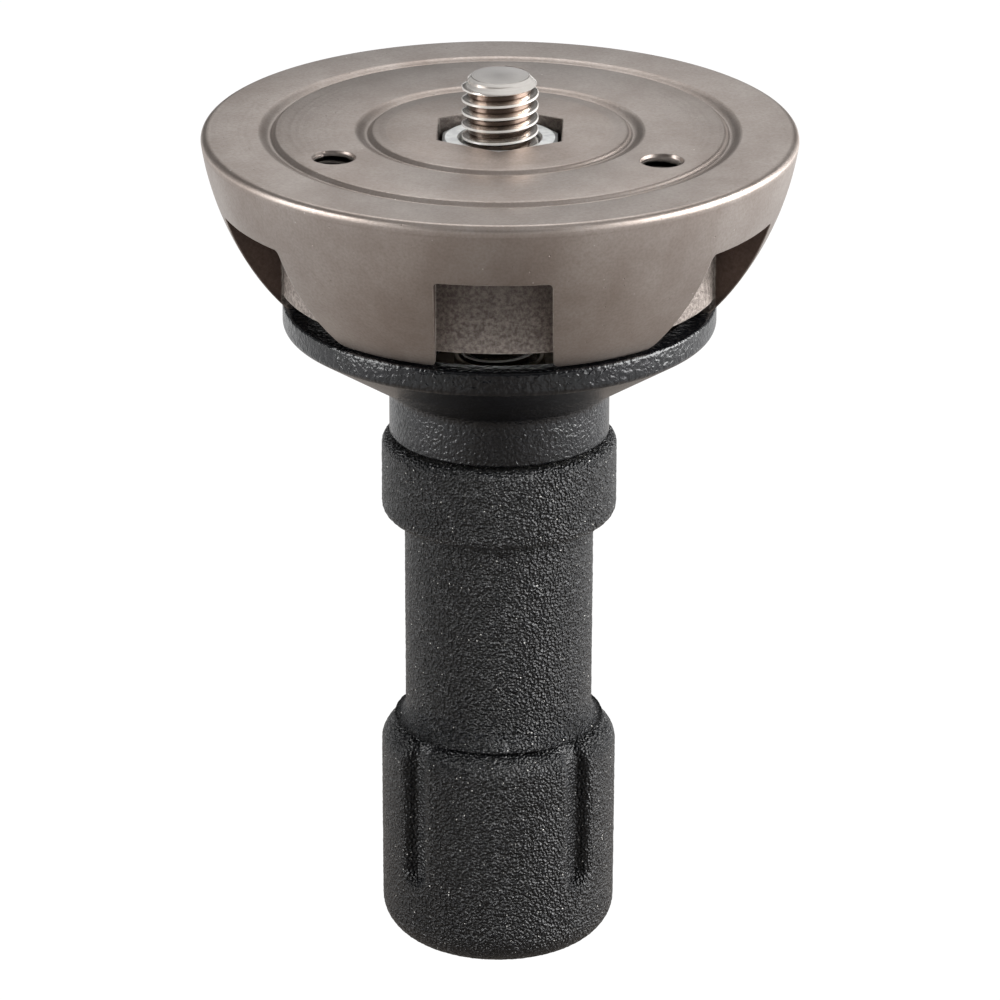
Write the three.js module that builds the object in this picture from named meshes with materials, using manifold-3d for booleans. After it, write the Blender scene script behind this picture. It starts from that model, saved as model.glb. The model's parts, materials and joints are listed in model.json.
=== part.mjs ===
import * as THREE from 'three';
import { mergeVertices } from 'three/addons/utils/BufferGeometryUtils.js';
import Module from 'manifold-3d';

const wasm = await Module();
wasm.setup();

// Half ball adapter: a flat-topped ball for a 75 mm tripod bowl, its tie rod, and below it the clamp
// flange and the handle that draws the flange up. Millimetres, +Z up, origin at the ball's centre.
// Depths run down from the ball's flat face, and radii from the rod's axis.

// Clearances and cutters
const seatGap = 0.3;
const cutterOverrun = 2;

// Half ball
const ballDiameter = 75;
const faceDrop = 4.4;
const rimBreak = 0.35;
const innerGrooveRadius = 17;
const outerGrooveInset = 8.24;
const grooveWidth = 2.4;
const grooveDepth = 0.7;
const plateThickness = 6;
const wallDraft = 0.14;
const wallThickness = 3.3;
const fingerTipThickness = 2.63;
const fingerOverhang = 2.4;
const castingFillet = 1.5;
const hubRadius = 11.5;
const hubLength = 7.5;

// Notches
const notchCount = 6;
const notchWidth = 14.3;
const notchRoofDepth = 8;
const notchRoofReach = 7.99;
const notchRoofRound = 0.6;
const fingerTipRound = 1.1;

// Tie rod and its nuts and washers
const rodDiameter = 9.525;
const rodHeight = 7.05;
const rodReserve = 13.8;
const rodChamfer = 1.18;
const nutAcrossFlats = 14.29;
const nutChamferCircle = 13.7;
const nutChamferDegrees = 30;
const nutMouthWidth = 0.75;
const topNutSink = 1;
const topNutThickness = 8.3;
const hubNutThickness = 5.56;
const recessSideGap = 0.5;
const hubWasherRadius = 10.3;
const hubWasherThickness = 1.65;
const lockWasherRadius = 8.65;
const lockWasherThickness = 2.3;
const lockWasherSplit = 1.2;

// Set screws, drawn at the core of their thread, in holes drawn at the tap drill's size
const setScrewCount = 3;
const setScrewWallInset = 0.9;
const setScrewCoreRadius = 2.3;
const setScrewLength = 8;
const setScrewSink = 4;
const setScrewChamfer = 0.6;
const setScrewFootChamfer = 0.3;
const setScrewSocketFlats = 2.5;
const setScrewSocketDepth = 3.2;
const setScrewBossRadius = 5;

// Clamp flange
const flangeOverhang = 0.47;
const flangeRimWidth = 3;
const flangeRimHeight = 2.4;
const flangeEdgeBreak = 0.35;
const flangeConeDegrees = 32.2;
const flangeLowerRound = 1;
const dishConeStartDrop = 1;
const dishDepth = 9.8;
const neckRadius = 13.88;
const neckFillet = 2;
const neckWebThickness = 1.9;
const neckRecessShare = 0.735;
const pocketWidth = 1.7;
const capSeatWidth = 0.6;

// Bush, washers and ring in the neck
const bushCollarWall = 0.69;
const bushCollarRise = 2.4;
const bushCapThickness = 1;
const upperWasherThickness = 0.8;
const ringThickness = 1;
const ringWidth = 1.9;
const ringOpening = 6;
const ringGrooveDepth = 0.7;
const spigotLip = 0.8;
const lowerWasherThickness = 0.9;

// Handle insert
const spigotShare = 0.3333;
const insertFlangeThickness = 2;
const insertFlangeInset = 0.6;
const insertHexShare = 0.5933;
const insertLength = 26;

// Handle body
const collarStep = 0.13;
const collarGap = 0.5;
const collarShoulder = 1.2;
const collarLength = 10.6;
const collarLowerRound = 1.5;
const waistFillet = 1;
const waistInset = 2.77;
const waistTaper = 0.08;
const waistLength = 25.7;
const waistFlareDrop = 2.4;
const waistFlareReach = 1.4;
const bodyBoreRoom = 1.14;
const rodEndRoom = 8;
const bodySpigotFloor = 4;

// Knob
const knobRadius = 15;
const knobWall = 4.5;
const knobTaper = 0.08;
const knobShoulderWidth = 1.6;
const knobShoulderHeight = 1.8;
const knobLength = 29.8;
const knobFootRoundWidth = 7;
const knobFootRoundHeight = 6;
const fluteCount = 4;
const fluteRadius = 2;
const fluteDepth = 1.5;
const fluteLength = 19.2;

// Knob screw
const screwRadius = 2;
const screwHeadRadius = 3.5;
const screwHeadHeight = 4;
const screwSocketFlats = 3;
const screwSocketDepth = 2;
const screwLength = 13;
const screwWasherRadius = 4.5;
const screwWasherThickness = 0.8;

// Facets round the large and the small pieces
const ballFacets = 60;
const flangeFacets = 48;
const handleFacets = 40;
const smallFacets = 24;
const screwFacets = 20;

// A hexagon's corner radius for each millimetre across its flats
const hexCornerShare = 1 / Math.sqrt(3);

// Sizes that follow from those above
const ballRadius = ballDiameter / 2;
const rodRadius = rodDiameter / 2;
const rodBoreRadius = rodRadius + seatGap;
const faceRadius = Math.sqrt(ballRadius ** 2 - faceDrop ** 2);
const outerGrooveRadius = faceRadius - outerGrooveInset;
const notchRoofDrop = faceDrop + notchRoofDepth;
const wallRadius = Math.sqrt(ballRadius ** 2 - notchRoofDrop ** 2) - notchRoofReach;
const wallInnerRadius = wallRadius - wallThickness;
const lowerEdgeRadius = wallInnerRadius + fingerTipThickness;
const fingerDepth = Math.sqrt(ballRadius ** 2 - lowerEdgeRadius ** 2) - faceDrop;
const wallDepth = fingerDepth - fingerOverhang;
const hubDepth = plateThickness + hubLength;
const recessFlats = nutAcrossFlats + 2 * recessSideGap;
const topNutDepth = topNutSink + topNutThickness;
const recessDepth = topNutDepth + seatGap;
const hubWasherTop = hubDepth + seatGap;
const lockWasherTop = hubWasherTop + hubWasherThickness + seatGap;
const hubNutTop = lockWasherTop + lockWasherThickness + seatGap;
const setScrewCircleRadius = wallInnerRadius - setScrewWallInset;
const setScrewHoleRadius = setScrewCoreRadius + seatGap;
const flangeRadius = lowerEdgeRadius + flangeOverhang;
const rimTopDepth = fingerDepth + seatGap;
const rimInnerRadius = flangeRadius - flangeRimWidth;
const dishFloorDepth = rimTopDepth + dishDepth;
const spigotRadius = rodBoreRadius + spigotShare * (neckRadius - rodBoreRadius);
const neckBoreRadius = spigotRadius + seatGap;
const pocketRadius = neckBoreRadius + pocketWidth;
const mouthRadius = pocketRadius + capSeatWidth;
const capRadius = mouthRadius - seatGap;
const capTopDepth = dishFloorDepth;
const capFootDepth = capTopDepth + bushCapThickness;
const bushCollarRadius = rodBoreRadius + bushCollarWall;
const spigotTop = capFootDepth + seatGap;
const ringTop = spigotTop + spigotLip + seatGap;
const upperWasherTop = ringTop + ringThickness + seatGap;
const pocketFloorDepth = upperWasherTop + upperWasherThickness + seatGap;
const washerRecessRadius = neckBoreRadius + neckRecessShare * (neckRadius - neckBoreRadius);
const lowerWasherRadius = washerRecessRadius - seatGap;
const washerRecessDepth = pocketFloorDepth + neckWebThickness;
const lowerWasherTop = washerRecessDepth + seatGap;
const lowerWasherFoot = lowerWasherTop + lowerWasherThickness;
const collarTopDepth = lowerWasherFoot + seatGap;
const neckFootDepth = collarTopDepth - collarGap;
const collarRadius = knobRadius - collarStep;
const waistRadius = collarRadius - waistInset;
const insertFlangeRadius = lowerWasherRadius - insertFlangeInset;
const insertHexCorner = rodBoreRadius + insertHexShare * (waistRadius - rodBoreRadius);
const insertHexFlats = insertHexCorner / hexCornerShare;
const insertFlangeTop = collarTopDepth;
const insertFlangeFoot = insertFlangeTop + insertFlangeThickness;
const insertFoot = insertFlangeTop + insertLength;
const collarMouthRadius = insertFlangeRadius + seatGap;
const rodEndDepth = insertFoot + rodReserve;
const waistTopDepth = collarTopDepth + collarLength;
const waistFlareStart = waistTopDepth + waistLength;
const bodyFootDepth = waistFlareStart + waistFlareDrop;
const boreFloorDepth = rodEndDepth + rodEndRoom;
const bodySpigotFoot = boreFloorDepth + bodySpigotFloor;
const knobTopDepth = bodyFootDepth + seatGap;
const knobFootDepth = knobTopDepth + knobLength;
const fluteEndDepth = knobTopDepth + fluteLength;
const knobSocketRadius = knobRadius - knobWall;
const bodySpigotRadius = knobSocketRadius - seatGap;
const bodyBoreRadius = rodRadius + bodyBoreRoom;
const knobSocketDepth = bodySpigotFoot + seatGap;
const screwHoleRadius = screwRadius + seatGap;
const screwWasherTop = boreFloorDepth - seatGap - screwWasherThickness;
const screwHeadFoot = screwWasherTop - seatGap;
const screwFoot = screwHeadFoot + screwLength;

const radians = THREE.MathUtils.degToRad;
const upright = new THREE.Vector3(0, 0, 1);

// A closed geometry as a solid that can be joined and cut
function solidOf(geometry) {
  geometry.deleteAttribute('normal');
  geometry.deleteAttribute('uv');
  const merged = mergeVertices(geometry);
  const corners = merged.index.array;
  const triangles = [];
  for (let i = 0; i < corners.length; i += 3) {
    const [a, b, c] = [corners[i], corners[i + 1], corners[i + 2]];
    if (a !== b && b !== c && c !== a) {
      triangles.push(a, b, c);
    }
  }
  const vertProperties = new Float32Array(merged.attributes.position.array);
  const triVerts = new Uint32Array(triangles);
  return new wasm.Manifold(new wasm.Mesh({ numProp: 3, vertProperties, triVerts }));
}

// A profile of [radius, depth] points turned about the rod's axis
function revolve(profile, facets) {
  const points = profile.map(([radius, depth]) => new THREE.Vector2(radius, -depth));
  const geometry = new THREE.LatheGeometry(points, facets);
  geometry.rotateX(Math.PI / 2);
  return solidOf(geometry);
}

// The same for a profile that goes round a bore and closes on itself
function revolveRing(profile, facets) {
  return revolve([...profile, profile[0]], facets);
}

// Profile points along a part of an ellipse, angles up from the outward direction
function bend(centreRadius, centreDepth, width, height, fromDegrees, toDegrees, steps) {
  const points = [];
  for (let step = 0; step <= steps; step += 1) {
    const angle = radians(fromDegrees + (toDegrees - fromDegrees) * step / steps);
    points.push([centreRadius + width * Math.cos(angle), centreDepth - height * Math.sin(angle)]);
  }
  return points;
}

// The same along a part of a circle
function round(centreRadius, centreDepth, radius, fromDegrees, toDegrees, steps) {
  return bend(centreRadius, centreDepth, radius, radius, fromDegrees, toDegrees, steps);
}

// A washer or a plain ring, as wide as its two radii say
function washer(innerRadius, outerRadius, top, thickness, facets) {
  const foot = top + thickness;
  return revolveRing([
    [innerRadius, foot],
    [outerRadius, foot],
    [outerRadius, top],
    [innerRadius, top],
  ], facets);
}

// A round bar between two depths
function bar(radius, top, foot, facets) {
  return revolve([[0, foot], [radius, foot], [radius, top], [0, top]], facets);
}

// A hexagonal bar with two corners towards the front and the back
function hexBar(acrossFlats, top, foot) {
  const cornerRadius = acrossFlats * hexCornerShare;
  const geometry = new THREE.CylinderGeometry(cornerRadius, cornerRadius, foot - top, 6);
  geometry.rotateX(Math.PI / 2);
  geometry.translate(0, 0, -(top + foot) / 2);
  return solidOf(geometry);
}

// A box between two depths that reaches from the axis to the front, to cut a ring open
function ringSplitter(width, reach, top, foot) {
  const geometry = new THREE.BoxGeometry(width, reach, foot - top);
  geometry.translate(0, -reach / 2, -(top + foot) / 2);
  return solidOf(geometry);
}

function standAt(solid, radius, degrees) {
  return solid.translate([radius * Math.cos(radians(degrees)), radius * Math.sin(radians(degrees)), 0]);
}

// Half ball: top plate, skirt wall and hub in one casting
function grooveProfile(centreRadius) {
  const acrossShares = [-1, -0.5, 0, 0.5, 1];
  return acrossShares.map((share) => [
    centreRadius + share * grooveWidth / 2,
    grooveDepth * (1 - share ** 2),
  ]);
}

function castingProfile() {
  const sphereStart = -THREE.MathUtils.radToDeg(Math.asin((faceDrop + rimBreak) / ballRadius));
  const sphereEnd = -THREE.MathUtils.radToDeg(Math.asin((faceDrop + fingerDepth) / ballRadius));
  const outside = round(0, -faceDrop, ballRadius, sphereEnd, sphereStart, 9);
  const face = [...grooveProfile(innerGrooveRadius), ...grooveProfile(outerGrooveRadius)].reverse();
  const filletDepth = plateThickness + castingFillet;
  const hubFillet = round(hubRadius + castingFillet, filletDepth, castingFillet, 180, 90, 2);
  const wallFillet = round(wallInnerRadius - castingFillet, filletDepth, castingFillet, 90, 0, 2);
  return [
    ...outside,
    [faceRadius - rimBreak, 0],
    ...face,
    [rodBoreRadius, 0],
    [rodBoreRadius, hubDepth],
    [hubRadius, hubDepth],
    ...hubFillet,
    ...wallFillet,
    [wallInnerRadius, fingerDepth],
  ];
}

// The outline of a notch seen from outside: straight sides, small rounds under the roof, and finger tips
// that open outwards in a round
function notchShape() {
  const side = notchWidth / 2;
  const tipHeight = fingerTipRound - fingerDepth;
  const roofSide = side - notchRoofRound;
  const roofHeight = -notchRoofDepth - notchRoofRound;
  const shape = new THREE.Shape();
  shape.moveTo(-side - fingerTipRound, -fingerDepth - cutterOverrun);
  shape.lineTo(side + fingerTipRound, -fingerDepth - cutterOverrun);
  shape.lineTo(side + fingerTipRound, -fingerDepth);
  shape.absarc(side + fingerTipRound, tipHeight, fingerTipRound, radians(270), radians(180), true);
  shape.absarc(roofSide, roofHeight, notchRoofRound, 0, radians(90), false);
  shape.absarc(-roofSide, roofHeight, notchRoofRound, radians(90), radians(180), false);
  shape.absarc(-side - fingerTipRound, tipHeight, fingerTipRound, 0, radians(-90), true);
  shape.closePath();
  return shape;
}

// A notch reaches in to the wall, and below the wall's edge right through to the hollow
function notchCutters() {
  const start = wallInnerRadius - cutterOverrun;
  const reach = ballRadius + cutterOverrun - start;
  const wallKept = revolve([
    [0, wallDepth],
    [wallRadius - wallDraft, wallDepth],
    [wallRadius, notchRoofDepth],
    [wallRadius, 0],
    [0, 0],
  ], ballFacets);
  const cutters = [];
  for (let index = 0; index < notchCount; index += 1) {
    const options = { depth: reach, bevelEnabled: false, curveSegments: 3 };
    const geometry = new THREE.ExtrudeGeometry(notchShape(), options);
    geometry.rotateX(Math.PI / 2);
    geometry.translate(0, -start, 0);
    geometry.rotateZ(radians(360 * index / notchCount));
    cutters.push(solidOf(geometry).subtract(wallKept));
  }
  return cutters;
}

function setScrewDegrees(index) {
  return 90 + 360 * index / setScrewCount;
}

function makeHalfBall() {
  let casting = revolveRing(castingProfile(), ballFacets);
  for (let index = 0; index < setScrewCount; index += 1) {
    const boss = bar(setScrewBossRadius, plateThickness / 2, hubDepth, smallFacets);
    casting = casting.add(standAt(boss, setScrewCircleRadius, setScrewDegrees(index)));
  }
  for (const cutter of notchCutters()) {
    casting = casting.subtract(cutter);
  }
  for (let index = 0; index < setScrewCount; index += 1) {
    const hole = bar(setScrewHoleRadius, -cutterOverrun, hubDepth + cutterOverrun, screwFacets);
    casting = casting.subtract(standAt(hole, setScrewCircleRadius, setScrewDegrees(index)));
  }
  return casting.subtract(hexBar(recessFlats, -cutterOverrun, recessDepth));
}

// Tie rod, its nuts and washers
function makeRod() {
  return revolve([
    [0, rodEndDepth],
    [rodRadius - rodChamfer, rodEndDepth],
    [rodRadius, rodEndDepth - rodChamfer],
    [rodRadius, rodChamfer - rodHeight],
    [rodRadius - rodChamfer, -rodHeight],
    [0, -rodHeight],
  ], smallFacets);
}

function makeNut(top, thickness) {
  const foot = top + thickness;
  const cornerRadius = nutAcrossFlats * hexCornerShare;
  const chamferDrop = (cornerRadius - nutChamferCircle / 2) * Math.tan(radians(nutChamferDegrees));
  const chamfered = revolve([
    [0, foot],
    [nutChamferCircle / 2, foot],
    [cornerRadius, foot - chamferDrop],
    [cornerRadius, top + chamferDrop],
    [nutChamferCircle / 2, top],
    [0, top],
  ], smallFacets);
  const bore = revolve([
    [0, foot + cutterOverrun],
    [rodBoreRadius, foot + cutterOverrun],
    [rodBoreRadius, top + nutMouthWidth],
    [rodBoreRadius + nutMouthWidth + cutterOverrun, top - cutterOverrun],
    [0, top - cutterOverrun],
  ], smallFacets);
  return hexBar(nutAcrossFlats, top, foot).intersect(chamfered).subtract(bore);
}

function makeLockWasher() {
  const ring = washer(rodBoreRadius, lockWasherRadius, lockWasherTop, lockWasherThickness, smallFacets);
  const split = ringSplitter(lockWasherSplit, lockWasherRadius + cutterOverrun, lockWasherTop - cutterOverrun,
    lockWasherTop + lockWasherThickness + cutterOverrun);
  return ring.subtract(split);
}

// Set screw with its top at height zero, and its socket at the lower end
function makeSetScrew() {
  const body = revolve([
    [0, setScrewLength],
    [setScrewCoreRadius - setScrewFootChamfer, setScrewLength],
    [setScrewCoreRadius, setScrewLength - setScrewFootChamfer],
    [setScrewCoreRadius, setScrewChamfer],
    [setScrewCoreRadius - setScrewChamfer, 0],
    [0, 0],
  ], screwFacets);
  const socketTop = setScrewLength - setScrewSocketDepth;
  return body.subtract(hexBar(setScrewSocketFlats, socketTop, setScrewLength + cutterOverrun));
}

// Clamp flange: rim, dish and neck, with the pocket and the bores that the handle's spigot needs
function makeClampFlange() {
  const slope = radians(flangeConeDegrees);
  const rimFootDepth = rimTopDepth + flangeRimHeight;
  const roundRadius = flangeRadius - flangeLowerRound;
  const coneTopRadius = roundRadius + flangeLowerRound * Math.sin(slope);
  const coneTopDepth = rimFootDepth + flangeLowerRound * Math.cos(slope);
  const filletRadius = neckRadius + neckFillet;
  const coneFall = (coneTopRadius - filletRadius) * Math.tan(slope);
  const filletDepth = coneTopDepth + coneFall + neckFillet / Math.cos(slope);
  return revolveRing([
    [washerRecessRadius, neckFootDepth],
    [neckRadius - flangeEdgeBreak, neckFootDepth],
    [neckRadius, neckFootDepth - flangeEdgeBreak],
    ...round(filletRadius, filletDepth, neckFillet, 180, 90 + flangeConeDegrees, 3),
    ...round(roundRadius, rimFootDepth, flangeLowerRound, 270 + flangeConeDegrees, 360, 3),
    [flangeRadius, rimTopDepth + flangeEdgeBreak],
    [flangeRadius - flangeEdgeBreak, rimTopDepth],
    [rimInnerRadius, rimTopDepth],
    [rimInnerRadius, rimTopDepth + dishConeStartDrop],
    [mouthRadius, dishFloorDepth],
    [mouthRadius, capFootDepth + seatGap],
    [pocketRadius, capFootDepth + seatGap],
    [pocketRadius, pocketFloorDepth],
    [neckBoreRadius, pocketFloorDepth],
    [neckBoreRadius, washerRecessDepth],
    [washerRecessRadius, washerRecessDepth],
  ], flangeFacets);
}

function makeGuideBush() {
  return revolveRing([
    [rodBoreRadius, capFootDepth],
    [capRadius, capFootDepth],
    [capRadius, capTopDepth],
    [bushCollarRadius, capTopDepth],
    [bushCollarRadius, capTopDepth - bushCollarRise],
    [rodBoreRadius, capTopDepth - bushCollarRise],
  ], smallFacets);
}

function makeRetainingRing() {
  const innerRadius = spigotRadius - ringGrooveDepth + seatGap;
  const ring = washer(innerRadius, innerRadius + ringWidth, ringTop, ringThickness, handleFacets);
  const opening = ringSplitter(ringOpening, pocketRadius + cutterOverrun, ringTop - cutterOverrun,
    ringTop + ringThickness + cutterOverrun);
  return ring.subtract(opening);
}

// Handle insert: spigot with its ring groove, seat flange and hexagon, bored for the rod
function makeInsert() {
  const grooveRadius = spigotRadius - ringGrooveDepth;
  const grooveTop = ringTop - seatGap;
  const grooveFoot = ringTop + ringThickness + seatGap;
  const turned = revolve([
    [0, insertFlangeFoot],
    [insertFlangeRadius, insertFlangeFoot],
    [insertFlangeRadius, insertFlangeTop],
    [spigotRadius, insertFlangeTop],
    [spigotRadius, grooveFoot],
    [grooveRadius, grooveFoot],
    [grooveRadius, grooveTop],
    [spigotRadius, grooveTop],
    [spigotRadius, spigotTop],
    [0, spigotTop],
  ], handleFacets);
  const hexagon = hexBar(insertHexFlats, (insertFlangeTop + insertFlangeFoot) / 2, insertFoot);
  const bore = bar(rodBoreRadius, spigotTop - cutterOverrun, insertFoot + cutterOverrun, smallFacets);
  return turned.add(hexagon).subtract(bore);
}

// Handle body: collar, waist and flare outside, and inside the insert's seat and the rod's bore
function makeHandleBody() {
  const flareRadius = waistRadius - waistTaper + waistFlareReach;
  const shoulder = Math.min(collarShoulder, (collarRadius - collarMouthRadius) / 2);
  const collarFootRadius = collarRadius - collarLowerRound;
  const body = revolveRing([
    [screwHoleRadius, bodySpigotFoot],
    [bodySpigotRadius, bodySpigotFoot],
    [bodySpigotRadius, bodyFootDepth],
    ...bend(flareRadius, waistFlareStart, waistFlareReach, waistFlareDrop, 270, 180, 5),
    ...round(waistRadius + waistFillet, waistTopDepth + waistFillet, waistFillet, 180, 90, 3),
    ...round(collarFootRadius, waistTopDepth - collarLowerRound, collarLowerRound, 270, 360, 3),
    ...round(collarRadius - shoulder, collarTopDepth + shoulder, shoulder, 0, 90, 3),
    [collarMouthRadius, collarTopDepth],
    [collarMouthRadius, insertFlangeFoot + seatGap],
    [bodyBoreRadius, insertFlangeFoot + seatGap],
    [bodyBoreRadius, boreFloorDepth],
    [screwHoleRadius, boreFloorDepth],
  ], handleFacets);
  return body.subtract(hexBar(insertHexFlats + 2 * seatGap, insertFlangeFoot, insertFoot + seatGap));
}

// Knob: a cup that takes the body's spigot, with upright flutes that run out over its shoulder
function makeKnob() {
  const footFlatRadius = knobRadius - knobTaper - knobFootRoundWidth;
  const footRoundDepth = knobFootDepth - knobFootRoundHeight;
  const shoulderDepth = knobTopDepth + knobShoulderHeight;
  const knob = revolve([
    [0, knobFootDepth],
    ...bend(footFlatRadius, footRoundDepth, knobFootRoundWidth, knobFootRoundHeight, 270, 360, 7),
    ...bend(knobRadius - knobShoulderWidth, shoulderDepth, knobShoulderWidth, knobShoulderHeight, 0, 90, 4),
    [knobSocketRadius, knobTopDepth],
    [knobSocketRadius, knobSocketDepth],
    [screwHoleRadius, knobSocketDepth],
    [screwHoleRadius, screwFoot + seatGap],
    [0, screwFoot + seatGap],
  ], handleFacets);
  return fluteCutters().reduce((left, cutter) => left.subtract(cutter), knob);
}

function fluteCutters() {
  const axisRadius = knobRadius + fluteRadius - fluteDepth;
  const cutters = [];
  for (let index = 0; index < fluteCount; index += 1) {
    const cutter = revolve([
      ...round(0, fluteEndDepth - fluteRadius, fluteRadius, 270, 360, 4),
      [fluteRadius, knobTopDepth - cutterOverrun],
      [0, knobTopDepth - cutterOverrun],
    ], screwFacets);
    cutters.push(standAt(cutter, axisRadius, 45 + 360 * index / fluteCount));
  }
  return cutters;
}

// Cap screw with its shank down, held inside the handle
function makeKnobScrew() {
  const headTop = screwHeadFoot - screwHeadHeight;
  const screw = revolve([
    [0, screwFoot],
    [screwRadius, screwFoot],
    [screwRadius, screwHeadFoot],
    [screwHeadRadius, screwHeadFoot],
    [screwHeadRadius, headTop],
    [0, headTop],
  ], screwFacets);
  return screw.subtract(hexBar(screwSocketFlats, headTop - cutterOverrun, headTop + screwSocketDepth));
}

const finishes = {
  castMetal: { color: 0x8d857d, roughness: 0.45, metalness: 0.9 },
  stainless: { color: 0xb9b6b0, roughness: 0.25, metalness: 1 },
  zinc: { color: 0xc4c2bc, roughness: 0.35, metalness: 1 },
  darkSteel: { color: 0x55524e, roughness: 0.4, metalness: 1 },
  powderCoat: { color: 0x26262a, roughness: 0.55, metalness: 0.1 },
  nylon: { color: 0xd8d5ca, roughness: 0.6, metalness: 0 },
  grainedPlastic: { color: 0x232326, roughness: 0.6, metalness: 0 },
};

function meshOf(name, solid, finish) {
  const { vertProperties, triVerts } = solid.getMesh();
  const geometry = new THREE.BufferGeometry();
  geometry.setAttribute('position', new THREE.BufferAttribute(new Float32Array(vertProperties), 3));
  geometry.setIndex(new THREE.BufferAttribute(new Uint32Array(triVerts), 1));
  geometry.computeVertexNormals();
  const mesh = new THREE.Mesh(geometry, new THREE.MeshStandardMaterial(finishes[finish]));
  mesh.name = name;
  return mesh;
}

const hubWasher = washer(rodBoreRadius, hubWasherRadius, hubWasherTop, hubWasherThickness, smallFacets);
const ballGroup = new THREE.Group();
ballGroup.add(
  meshOf('half_ball', makeHalfBall(), 'castMetal'),
  meshOf('stud_rod', makeRod(), 'stainless'),
  meshOf('top_nut', makeNut(topNutSink, topNutThickness), 'zinc'),
  meshOf('hub_washer', hubWasher, 'zinc'),
  meshOf('hub_lock_washer', makeLockWasher(), 'zinc'),
  meshOf('hub_nut', makeNut(hubNutTop, hubNutThickness), 'zinc'),
);
for (let index = 0; index < setScrewCount; index += 1) {
  const screw = meshOf(`set_screw_${index + 1}`, makeSetScrew(), 'darkSteel');
  screw.position.set(setScrewCircleRadius, 0, -setScrewSink);
  screw.position.applyAxisAngle(upright, radians(setScrewDegrees(index)));
  ballGroup.add(screw);
}

const clampGroup = new THREE.Group();
const washerInnerRadius = spigotRadius + seatGap;
clampGroup.add(
  meshOf('clamp_flange', makeClampFlange(), 'powderCoat'),
  meshOf('guide_bush', makeGuideBush(), 'zinc'),
  meshOf('upper_thrust_washer', washer(washerInnerRadius, pocketRadius - seatGap, upperWasherTop,
    upperWasherThickness, smallFacets), 'nylon'),
  meshOf('lower_thrust_washer', washer(washerInnerRadius, lowerWasherRadius, lowerWasherTop,
    lowerWasherThickness, smallFacets), 'nylon'),
);

const handleGroup = new THREE.Group();
handleGroup.add(
  meshOf('retaining_ring', makeRetainingRing(), 'darkSteel'),
  meshOf('handle_insert', makeInsert(), 'zinc'),
  meshOf('handle_body', makeHandleBody(), 'grainedPlastic'),
  meshOf('handle_knob', makeKnob(), 'grainedPlastic'),
  meshOf('knob_washer', washer(screwHoleRadius, screwWasherRadius, screwWasherTop, screwWasherThickness,
    smallFacets), 'zinc'),
  meshOf('knob_screw', makeKnobScrew(), 'zinc'),
);

const adapter = new THREE.Group();
adapter.position.z = -faceDrop;
adapter.add(ballGroup, clampGroup, handleGroup);

export default adapter;
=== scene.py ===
# %% [markdown]
# # A tripod half ball adapter
# The real object is a cast half ball with a threaded stud, a black clamp flange below it, and a long
# handle that draws the flange up. This lesson dresses the packed engineering model for a studio picture.
# First comes the frame: every engineering node is loaded where it belongs and never moved.

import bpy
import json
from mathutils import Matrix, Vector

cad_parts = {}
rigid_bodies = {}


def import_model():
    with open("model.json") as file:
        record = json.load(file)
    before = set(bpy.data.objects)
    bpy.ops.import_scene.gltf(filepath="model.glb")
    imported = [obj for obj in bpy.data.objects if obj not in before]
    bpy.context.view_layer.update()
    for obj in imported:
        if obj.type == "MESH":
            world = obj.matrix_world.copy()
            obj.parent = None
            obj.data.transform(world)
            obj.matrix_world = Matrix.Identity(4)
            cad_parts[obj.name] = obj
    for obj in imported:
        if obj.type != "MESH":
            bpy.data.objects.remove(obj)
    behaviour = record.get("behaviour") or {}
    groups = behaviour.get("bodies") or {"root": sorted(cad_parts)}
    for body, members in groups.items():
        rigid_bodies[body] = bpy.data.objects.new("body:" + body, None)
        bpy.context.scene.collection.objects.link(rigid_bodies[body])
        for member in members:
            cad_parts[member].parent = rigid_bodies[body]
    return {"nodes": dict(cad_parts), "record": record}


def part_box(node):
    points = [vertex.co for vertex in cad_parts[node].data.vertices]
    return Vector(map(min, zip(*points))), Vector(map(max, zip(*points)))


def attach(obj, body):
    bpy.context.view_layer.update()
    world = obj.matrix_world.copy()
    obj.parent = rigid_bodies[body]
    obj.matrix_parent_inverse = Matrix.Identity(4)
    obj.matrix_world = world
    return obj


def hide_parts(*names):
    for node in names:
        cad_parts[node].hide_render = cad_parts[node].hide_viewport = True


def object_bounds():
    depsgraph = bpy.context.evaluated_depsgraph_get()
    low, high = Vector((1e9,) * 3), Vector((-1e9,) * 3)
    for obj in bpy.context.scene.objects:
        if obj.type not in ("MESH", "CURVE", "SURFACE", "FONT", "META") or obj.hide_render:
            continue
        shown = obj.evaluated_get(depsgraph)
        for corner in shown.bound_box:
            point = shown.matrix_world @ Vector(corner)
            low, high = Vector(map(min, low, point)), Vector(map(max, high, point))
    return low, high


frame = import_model()
cad_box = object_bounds()
print("nodes in the frame:", len(frame["nodes"]), "box:", cad_box)

# %% [markdown]
# ## Units and heights
# The drawing gives sizes in millimetres, and depths run down from the ball's flat face. Blender works in
# metres from the ball's centre, and the flat face lies 4.4 mm below that centre. A factor and a small helper
# keep the drawing's way of speaking, so that a size can be checked against it. Two more helpers make a mesh
# and put an object into the scene, which every later step needs.

# %% Units and heights
import json
import math

import bpy
from mathutils import Quaternion, Vector

mm = 0.001
ball_radius = 37.5
face_drop = 4.4
face_radius = math.sqrt(ball_radius ** 2 - face_drop ** 2)


def below_face(depth):
    """Height in millimetres from the ball's centre of a place so deep below the flat face."""
    return -face_drop - depth


def at_depths(*points):
    """Profile points written with a depth below the face in place of a height; a third number stays."""
    return [(across, below_face(depth), *rounding) for across, depth, *rounding in points]


def mesh_of(name, vertices, faces):
    """A mesh from its points, in metres, and its faces."""
    mesh = bpy.data.meshes.new(name)
    mesh.from_pydata(vertices, [], faces)
    return mesh


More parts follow.
